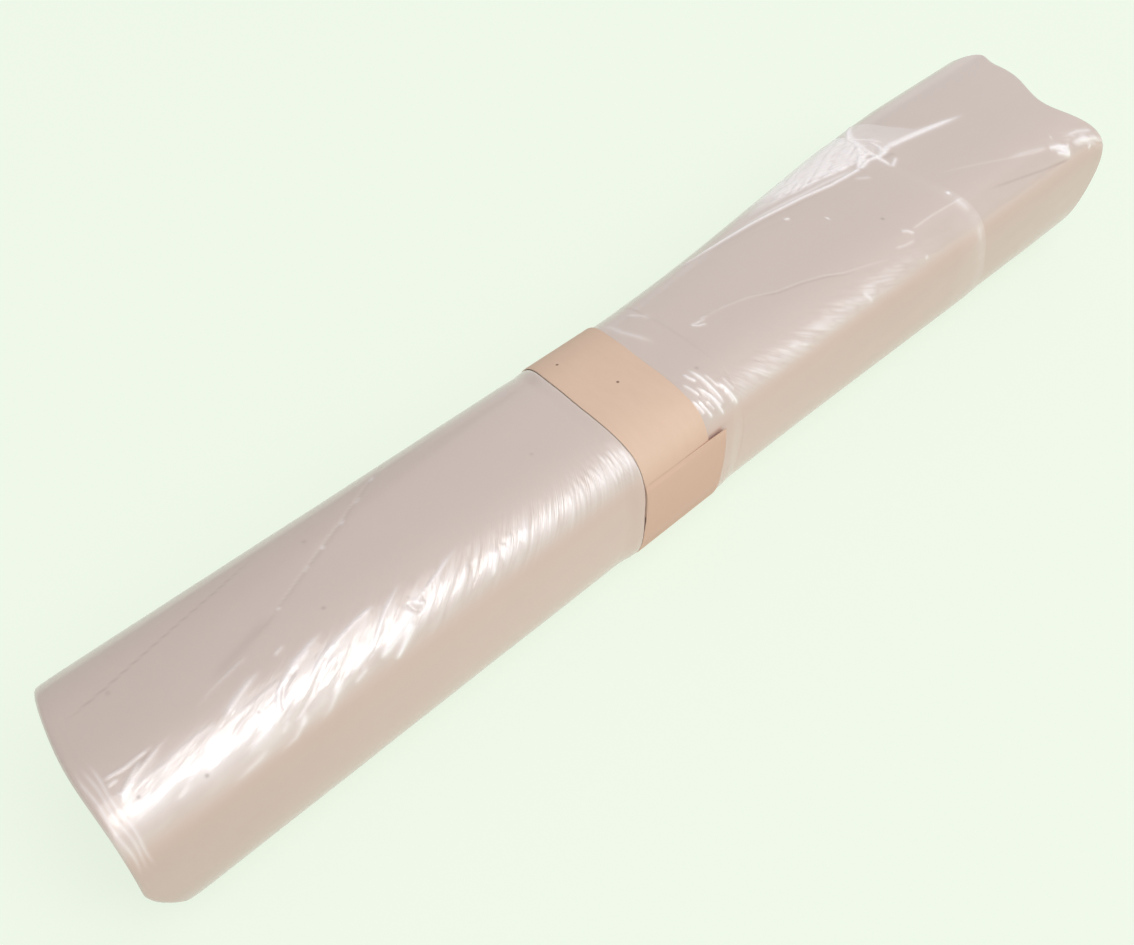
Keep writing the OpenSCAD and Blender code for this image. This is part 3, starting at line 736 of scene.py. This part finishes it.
def skin(name, zone, mat, rim=None, *, x_rows, place, front, back):
    """A stretch of the film's outside, whose rows place(x, phi, share) moves to their real x."""
    phi, v = ring_table(x_rows, front, back)
    share = np.linspace(0, 1, len(x_rows))[:, None]
    x = place(x_rows[:, None] * np.ones_like(phi), phi, share)
    sheet = Sheet(x, v, phi)
    film_form(sheet, zone)
    if rim:
        sheet.lift += rim(x, phi)
    y, z, ny, nz = section(phi, x)
    z_shown = np.maximum(z + nz * sheet.lift + CENTRE_Z, 0.0)
    points = np.stack([x, y + ny * sheet.lift + CENTRE_Y, z_shown], -1)
    ob = new_object(name, points.reshape(-1, 3), grid_faces(*x.shape), [mat])
    # Share of painted warm bounce light, low on the front and on the lower back
    low_down = np.where(v > 0, rise(v, 22, 28), rise(-v, 34, 42))
    paint(ob, veil=np.clip(sheet.veil, 0, 1), dark=np.clip(sheet.dark, 0, 1),
          crinkle=np.clip(sheet.crinkle, 0, 2), warm=low_down * np.interp(x, [-60, 60], [0.8, 1]),
          way=x, flow=flow_at(x, v))
    return ob


def rounded(depth, reach, drop):
    """Height of a rounded rim, which drops away over the last reach mm before the end."""
    short = 1 - np.clip(depth / reach, 0, 1)
    return -drop * (1 - np.sqrt(np.clip(1 - short ** 2, 0, 1)))


# Edges of the last turns that stop short of the near rim, as (place, step, phase of the wave)
SHORT_TURNS = ((1.4, 0.06, 1.0), (2.8, 0.045, 2.3), (4.0, 0.03, 4.1))


def near_fold(x, phi):
    """Rounding of the near rim, and the edges of the last turns that stop short of it."""
    depth = x - near_rim(phi)
    fold = rounded(depth, 1.3, 1.1)
    a = np.radians(phi)
    for at, step, phase in SHORT_TURNS:
        edge = at + 0.25 * np.sin(2 * a + phase) + 0.15 * np.sin(5 * a + phase * 2)
        fold -= step * rise(depth, edge + 0.3, edge)
    return fold


def far_fold(x, phi):
    """Rounding of the far rim."""
    return rounded(far_rim(phi) - x, 0.8, 0.7)


# The spiral on the wound ends. Each turn has four rails, as (pitches out from the crest, mm below it)
TURNS = 24
TURN_STEPS = 200
TURN_RAILS = ((-0.5, 1.5), (-0.26, 0.25), (-0.05, 0.0), (0.2, 0.12))
EYE_SHARE = 0.035
LAST_SHARE = 0.985
UNDER_SINK = 1.6
EYE_SINK = 0.5


def spiral_rails(rim, outward, centre_x, drop, seed):
    """Rails of points along the spiral on one end, and the rail that closes its last groove to the skin."""
    r = np.random.default_rng(seed)
    turn = np.arange(TURNS * TURN_STEPS + 1) / TURN_STEPS
    phi = TAIL_ANGLE + turn * FULL_TURN
    share = mix(EYE_SHARE, LAST_SHARE, turn / TURNS)
    pitch = (LAST_SHARE - EYE_SHARE) / TURNS
    base = rim(phi)
    y, z, ny, nz = section(phi, base)
    knots = np.arange(TURNS + 2)
    depth = np.abs(np.interp(turn, knots, r.normal(0, 0.42, TURNS + 2)))
    phase = np.interp(turn, knots, np.cumsum(r.uniform(0.1, 0.5, TURNS + 2)))
    a = np.radians(phi)
    wave = 0.5 * np.sin(a * 2 + phase * 3) + 0.35 * np.sin(a * 5 + phase * 7)
    crest = mix(centre_x, base, share ** 1.5) - outward * (0.35 + depth + 0.35 * wave * (1 - share ** 6))
    wobble = 0.18 * pitch * np.sin(a * 3 + phase * 5)

    def rail(sink, inset, k):
        """Points below the crest, inset from the skin, at share k of the way out from the centre."""
        at_y, at_z = (y - ny * inset) * k, (z - nz * inset) * k
        return np.stack([crest - outward * sink, at_y + CENTRE_Y, at_z + CENTRE_Z], -1)

    rails = [rail(sink, drop, share + offset * pitch + wobble) for offset, sink in TURN_RAILS]
    under = rail(UNDER_SINK, 0.8 * drop, 1)
    return rails, under[-TURN_STEPS - 1:]


def quad_strip(lower, upper, count):
    """Faces between two rails of points that start at the given places in the list."""
    at = np.arange(count)
    return np.stack([lower + at, lower + at + 1, upper + at + 1, upper + at], -1)


def turned_end(name, mat, rim, far, drop, seed):
    """The wound edges on one end: one spiral of crests and grooves from the eye to the skin."""
    outward, centre_x = (1, FAR_X - FAR_WAVE) if far else (-1, NEAR_X + 2.5)
    rails, under = spiral_rails(rim, outward, centre_x, drop, seed)
    eye = rails[0][:TURN_STEPS].mean(0) - np.array([outward * EYE_SINK, 0, 0])
    verts = np.concatenate(rails + [under, [eye]])
    n = TURNS * TURN_STEPS
    first = [k * (n + 1) for k in range(5)]
    last_turn = first[3] + n - TURN_STEPS
    strips = [quad_strip(first[k], first[k + 1], n) for k in range(3)]
    strips += [quad_strip(first[3], TURN_STEPS, n - TURN_STEPS), quad_strip(last_turn, first[4], TURN_STEPS)]
    quads = np.concatenate(strips)
    tail = np.array([first[3] + n, first[2] + n, first[1] + n, n,
                     last_turn, first[4], first[4] + TURN_STEPS])
    at = np.arange(TURN_STEPS)
    fan = np.stack([at, at + 1, np.full(TURN_STEPS, len(verts) - 1)], -1)
    if far:
        quads, fan, tail = quads[:, ::-1], fan[:, ::-1], tail[::-1]
    ob = new_object(name, verts, list(quads) + list(fan) + [tail], [mat])
    paint(ob, way=verts[:, 0], flow=verts[:, 1] + verts[:, 2], crinkle=np.full(len(verts), 0.2))
    return ob


def lin(r, g, b):
    """Linear colour of an sRGB colour in 0 to 255."""
    s = np.array([r, g, b]) / 255
    return (*np.where(s <= 0.04045, s / 12.92, ((s + 0.055) / 1.055) ** 2.4).tolist(), 1)


def grey(level):
    return (level, level, level, 1)


class Nodes:
    """A material and short ways to add nodes to it."""

    def __init__(self, name):
        self.mat = bpy.data.materials.new(name)
        self.mat.use_nodes = True
        self.tree = self.mat.node_tree
        self.bsdf = self.tree.nodes["Principled BSDF"]

    def add(self, kind, **values):
        node = self.tree.nodes.new(kind)
        for key, value in values.items():
            if key in node.inputs:
                node.inputs[key].default_value = value
            else:
                setattr(node, key, value)
        return node

    def constants(self, values):
        """Sets plain values on the shader's own sockets."""
        for key, value in values.items():
            self.bsdf.inputs[key].default_value = value

    def join(self, source, out, target, socket):
        self.tree.links.new(source.outputs[out], target.inputs[socket])

    def layer(self, name):
        return self.add("ShaderNodeAttribute", attribute_name=name)

    def noise(self, scale, detail, rough, stretch=(1, 1, 1)):
        co = self.add("ShaderNodeTexCoord")
        mapping = self.add("ShaderNodeMapping")
        mapping.inputs["Scale"].default_value = stretch
        self.join(co, "Object", mapping, "Vector")
        noise = self.add("ShaderNodeTexNoise", Scale=scale, Detail=detail, Roughness=rough)
        self.join(mapping, 0, noise, "Vector")
        return noise

    def wrinkle_noise(self, along, across):
        """Noise drawn out along the film's wrinkles, sized in mm along and across them."""
        place = self.add("ShaderNodeCombineXYZ")
        for name, size, socket in (("way", along, 0), ("flow", across, 1)):
            self.join(self.math("DIVIDE", self.layer(name), size, "Fac"), 0, place, socket)
        noise = self.add("ShaderNodeTexNoise", Scale=1.0, Detail=2, Roughness=0.55)
        self.join(place, 0, noise, "Vector")
        return noise

    def math(self, operation, source, value, out=0):
        node = self.add("ShaderNodeMath", operation=operation)
        node.inputs[1].default_value = value
        self.join(source, out, node, 0)
        return node

    def ramp(self, source, low, high, dark=grey(0), light=grey(1)):
        node = self.add("ShaderNodeValToRGB")
        for element, place, colour in zip(node.color_ramp.elements, (low, high), (dark, light)):
            element.position = place
            element.color = colour
        self.join(source, 0, node, 0)
        return node

    def blend(self, share, a, b, kind="MIX"):
        """Mix of two colours. The share and both colours are plain values or (node, output) pairs."""
        node = self.add("ShaderNodeMix", data_type="RGBA", blend_type=kind)
        for value, socket in ((share, 0), (a, 6), (b, 7)):
            if isinstance(value, tuple) and hasattr(value[0], "outputs"):
                self.join(value[0], value[1], node, socket)
            else:
                node.inputs[socket].default_value = value
        return node

    def bump(self, source, strength, distance, after=None):
        node = self.add("ShaderNodeBump", Strength=strength, Distance=distance)
        self.join(source, 0, node, "Height")
        if after:
            self.join(after, 0, node, "Normal")
        return node


def film_material():
    """Milky plastic film: a soft body under a clear gloss, crinkled where the layers are loose."""
    m = Nodes("film")
    # Grey-pink film, blended to a peach that is painted warm bounce light low on the front and back
    body = m.blend((m.layer("warm"), "Fac"), lin(205, 188, 179), lin(203, 170, 157))
    tone = m.ramp(m.noise(18, 3, 0.5, (0.5, 1, 1)), 0.3, 0.7, grey(0.96))
    toned = m.blend(1.0, (body, 2), (tone, 0), "MULTIPLY")
    # Pale film and painted highlights, blended towards near white
    pale = m.blend((m.layer("veil"), "Fac"), (toned, 2), lin(247, 240, 240))
    # Dark colour of dirt specks and fold lines, also used for painted shade
    lined = m.blend((m.layer("dark"), "Fac"), (pale, 2), lin(114, 88, 76))
    m.join(lined, 2, m.bsdf, "Base Color")
    m.constants({"IOR": 1.9, "Subsurface Weight": 0.15, "Subsurface Radius": (1.0, 0.8, 0.6),
                 "Subsurface Scale": 1.5 * MM, "Coat Weight": 0.9, "Coat Roughness": 0.14, "Coat IOR": 1.8})
    rough = m.ramp(m.noise(160, 3, 0.6, (0.4, 1, 1)), 0.3, 0.75, grey(0.42), grey(0.52))
    m.join(rough, 0, m.bsdf, "Roughness")
    crinkle = m.layer("crinkle")
    folds = m.math("ABSOLUTE", m.math("SUBTRACT", m.wrinkle_noise(7.0, 1.8), 0.5), 0)
    ripples = m.wrinkle_noise(2.6, 0.9)
    last = None
    for source, distance in ((folds, 0.22 * MM), (ripples, 0.05 * MM)):
        last = m.bump(source, 1.0, distance, last)
        m.join(crinkle, "Fac", last, "Strength")
    m.join(last, 0, m.bsdf, "Normal")
    m.join(last, 0, m.bsdf, "Coat Normal")
    return m.mat


def kraft_material(specks):
    """Pale kraft paper: faint fibres along the strip, dark specks at the given points in metres, and painted
    shade that makes the band's front darker and pinker.
    """
    m = Nodes("kraft_paper")
    fibre = m.noise(420, 5, 0.65, (1, 0.35, 0.35))
    shade = m.ramp(fibre, 0.25, 0.8, lin(216, 187, 165), lin(220, 192, 171))
    cloud = m.ramp(m.noise(60, 3, 0.5), 0.3, 0.7, grey(0.98))
    clouded = m.blend(1.0, (shade, 0), (cloud, 0), "MULTIPLY")
    # Painted shade on the band's front and lower face
    last = m.blend((m.layer("tan"), "Fac"), (clouded, 2), lin(207, 173, 153))
    for point in specks:
        co = m.add("ShaderNodeTexCoord")
        distance = m.add("ShaderNodeVectorMath", operation="DISTANCE")
        distance.inputs[1].default_value = point
        m.join(co, "Object", distance, 0)
        in_mm = m.math("DIVIDE", distance, MM, "Value")
        spot = m.ramp(in_mm, 0.2, 0.5)
        last = m.blend((spot, 0), lin(120, 92, 74), (last, 2))
    m.join(last, 2, m.bsdf, "Base Color")
    m.constants({"Roughness": 0.62, "Specular IOR Level": 0.35})
    m.join(m.bump(fibre, 0.15, 0.2 * MM), 0, m.bsdf, "Normal")
    return m.mat


def edge_material():
    """Cut edge of the kraft paper, rougher than its face, and painted paler as painted light that offsets
    the shade of the gap beside it.
    """
    m = Nodes("kraft_edge")
    shade = m.ramp(m.noise(600, 4, 0.6), 0.3, 0.7, lin(234, 210, 188), lin(242, 220, 200))
    m.join(shade, 0, m.bsdf, "Base Color")
    m.constants({"Roughness": 0.85, "Specular IOR Level": 0.2})
    return m.mat


def floor_material(shown_share=0.8):
    """Pale matt floor. Camera, mirror and glass rays see part of it at the background's own colour."""
    m = Nodes("floor")
    m.constants({"Base Color": lin(236, 239, 233), "Roughness": 0.95, "Specular IOR Level": 0.0})
    path = m.add("ShaderNodeLightPath")
    seen = None
    for ray in ("Is Camera Ray", "Is Glossy Ray", "Is Transmission Ray"):
        most = m.add("ShaderNodeMath", operation="MAXIMUM")
        m.join(path, ray, most, 0)
        if seen:
            m.join(seen, 0, most, 1)
        seen = most
    glow = m.add("ShaderNodeEmission", Color=lin(241, 252, 235))
    mixed = m.add("ShaderNodeMixShader")
    m.join(m.math("MULTIPLY", seen, shown_share), 0, mixed, 0)
    m.join(m.bsdf, 0, mixed, 1)
    m.join(glow, 0, mixed, 2)
    m.join(mixed, 0, m.tree.nodes["Material Output"], "Surface")
    return m.mat


# The roll. The far skin starts a little way under the lip of the outer bag
UNDER_LIP = 3.0
film = film_material()
left = skin("roll_left", "left", film, near_fold,
            x_rows=spread((NEAR_X, -80, 296), (-80, -34, 178), (-34, -24, 8)),
            place=lambda x, phi, t: x + (near_rim(phi) - NEAR_X) * rise(t, 0.4, 0),
            front=spread((0, 30, 88), (30, 46, 18), (46, 80, 14)),
            back=spread((0, 24, 46), (24, 36, 8), (36, 90, 18)))
outer_turn = skin("roll_outer_turn", "right", film,
                  x_rows=spread((-24, -16, 10), (-16, 0, 60), (0, OUTER_END, 290)),
                  place=lambda x, phi, t: x + (outer_edge(phi) - OUTER_END) * rise(x, -10, OUTER_END),
                  front=spread((0, 30, 84), (30, 80, 40)),
                  back=spread((0, 12, 24), (12, 36, 68), (36, 90, 38)))
far = skin("roll_far", "far", film, far_fold,
           x_rows=spread((OUTER_END - UNDER_LIP, FAR_X, 200)),
           place=lambda x, phi, t: mix(outer_edge(phi) - UNDER_LIP, far_rim(phi), t),
           front=spread((0, 30, 80), (30, 80, 36)),
           back=spread((0, 36, 80), (36, 90, 36)))
near_end = turned_end("near_end", film, near_rim, far=False, drop=0.6, seed=11)
far_end = turned_end("far_end", film, far_rim, far=True, drop=1.4, seed=12)
for ob in (left, outer_turn, far, near_end, far_end):
    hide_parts("bag_roll")


# The band: one strip that starts under its free end, runs over the top, down the back and up the front

def strip_points(turn, height, across):
    """Points of the strip by turn from its inner end, share of the paper's height, and share across."""
    phi = 180 - turn
    low = PAPER_GAP - waist_depth(phi) + (PAPER + PAPER_GAP) * rise(turn, OVERLAP_START, FULL_TURN)
    corner = CORNER_LIFT * rise(turn, STRIP_TURN - 12, STRIP_TURN) * rise(across, 0.7, 1)
    pressed = 0.95 * rise(turn, STRIP_TURN - 4, STRIP_TURN) * rise(across, 0.85, 0.4)
    worn = 0.5 * rise(across, 0.02, 0)
    x = band_left(phi) + across * band_width(turn)
    h = low + PAPER * height * (1 - pressed) * (1 - worn) + corner
    y, z, ny, nz = section(phi, x)
    return np.stack([x, y + ny * h + CENTRE_Y, np.maximum(z + nz * h + CENTRE_Z, 0.02)], -1)


def paper_band():
    """The strip as one closed piece. Its two long cut edges have the edge material."""
    turn = np.linspace(0, STRIP_TURN, 463)[:, None]
    across = np.insert(np.linspace(0, 1, 25), 1, 0.015)[None]
    columns = across.size
    loop = np.concatenate([strip_points(turn, 1, across), strip_points(turn, 0, across[:, ::-1])], 1)
    rows, cols = loop.shape[:2]
    walls = grid_faces(rows, cols, True)
    k = np.arange(columns - 1)
    cap = np.stack([k, k + 1, cols - 2 - k, cols - 1 - k], -1)
    faces = list(walls) + list(cap) + list(cap[:, ::-1] + (rows - 1) * cols)
    column = np.arange(len(walls)) % cols
    sides = (column == columns - 1) | (column == cols - 1)
    edge = np.concatenate([sides, np.full(2 * len(cap), False)])
    specks = [tuple(strip_points(np.array(180 - angle), 1, np.array(share)).reshape(-1) * MM)
              for angle, share in BAND_SPECKS]
    ob = new_object("band", loop.reshape(-1, 3), faces, [kraft_material(specks), edge_material()])
    ob.data.polygons.foreach_set("material_index", edge.astype(int))
    ob.data.set_sharp_from_angle(angle=math.radians(40))
    phi = wrapped(180 - turn)
    # Share of painted shade on the band's front and lower face
    on_front = rise(phi, 138, 164) * rise(phi, 255, 225)
    paint(ob, tan=np.broadcast_to(on_front, (rows, cols)))
    return ob


band = paper_band()
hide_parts("paper_band")

# Floor, lamps and camera. The floor is in mm, the lamps' sizes and distance in metres
FLOOR = 6000.0
FLOOR_Z = -0.15
LAMP_DISTANCE = 4.0
corners = [(x * FLOOR, y * FLOOR, FLOOR_Z) for x, y in ((-1, -1), (1, -1), (1, 1), (-1, 1))]
floor = new_object("floor", corners, [[0, 1, 2, 3]], [floor_material()], body=None)


def lamp(name, direction, width, height, power, colour=(1, 1, 1), along=None):
    """Soft lamp that faces the roll from the given direction. Its width is level, or runs the given way."""
    away = Vector(direction).normalized()
    side = Vector(along) if along else Vector((0, 0, 1)).cross(away)
    side = (side - side.dot(away) * away).normalized()
    data = bpy.data.lights.new(name, "AREA")
    data.shape = "RECTANGLE"
    data.size, data.size_y = width, height
    data.energy = power
    data.color = colour
    ob = bpy.data.objects.new(name, data)
    ob.location = away * LAMP_DISTANCE
    ob.rotation_euler = Matrix((side, away.cross(side), away)).transposed().to_euler()
    scene.collection.objects.link(ob)


lamp("key", (0.16, -0.60, 0.78), 2.6, 1.5, 33, along=(0.43, -0.62, -0.60))
lamp("key_low", (0.40, -0.84, 0.37), 1.4, 1.5, 5, along=(0.5, -0.4, -0.7))
lamp("key_wide", (0.0, -0.50, 0.86), 3.6, 4.6, 64)
lamp("fill", (-0.55, -0.75, 0.35), 3.0, 3.0, 16, colour=(1.0, 0.955, 0.94))
lamp("top_right", (0.75, 0.35, 0.60), 5.0, 5.0, 19)
lamp("horizon", (0.72, 0.68, 0.12), 3.4, 1.2, 4, colour=(1.0, 0.93, 0.92))

world = bpy.data.worlds.new("world")
scene.world = world
world.use_nodes = True
sky = world.node_tree.nodes["Background"]
sky.inputs["Color"].default_value = (1.0, 0.985, 0.97, 1)
sky.inputs["Strength"].default_value = 0.48

# The camera, fitted to the photo's outline: place in mm, tilt below the level and turn in degrees
CAMERA_X = -192.2
CAMERA_Y = CENTRE_Y - 152.8
CAMERA_Z = 250.5
CAMERA_TILT = 46.636
CAMERA_TURN = -44.555

cam_data = bpy.data.cameras.new("camera")
cam_data.lens = 39.68
cam_data.sensor_width = 36
cam_data.sensor_fit = "HORIZONTAL"
cam_data.clip_start = 0.01
cam_data.clip_end = 30
camera = bpy.data.objects.new("camera", cam_data)
camera.location = (CAMERA_X * MM, CAMERA_Y * MM, CAMERA_Z * MM)
camera.rotation_euler = (math.radians(90 - CAMERA_TILT), 0, math.radians(CAMERA_TURN))
scene.collection.objects.link(camera)
scene.camera = camera

scene.view_settings.view_transform = "Standard"
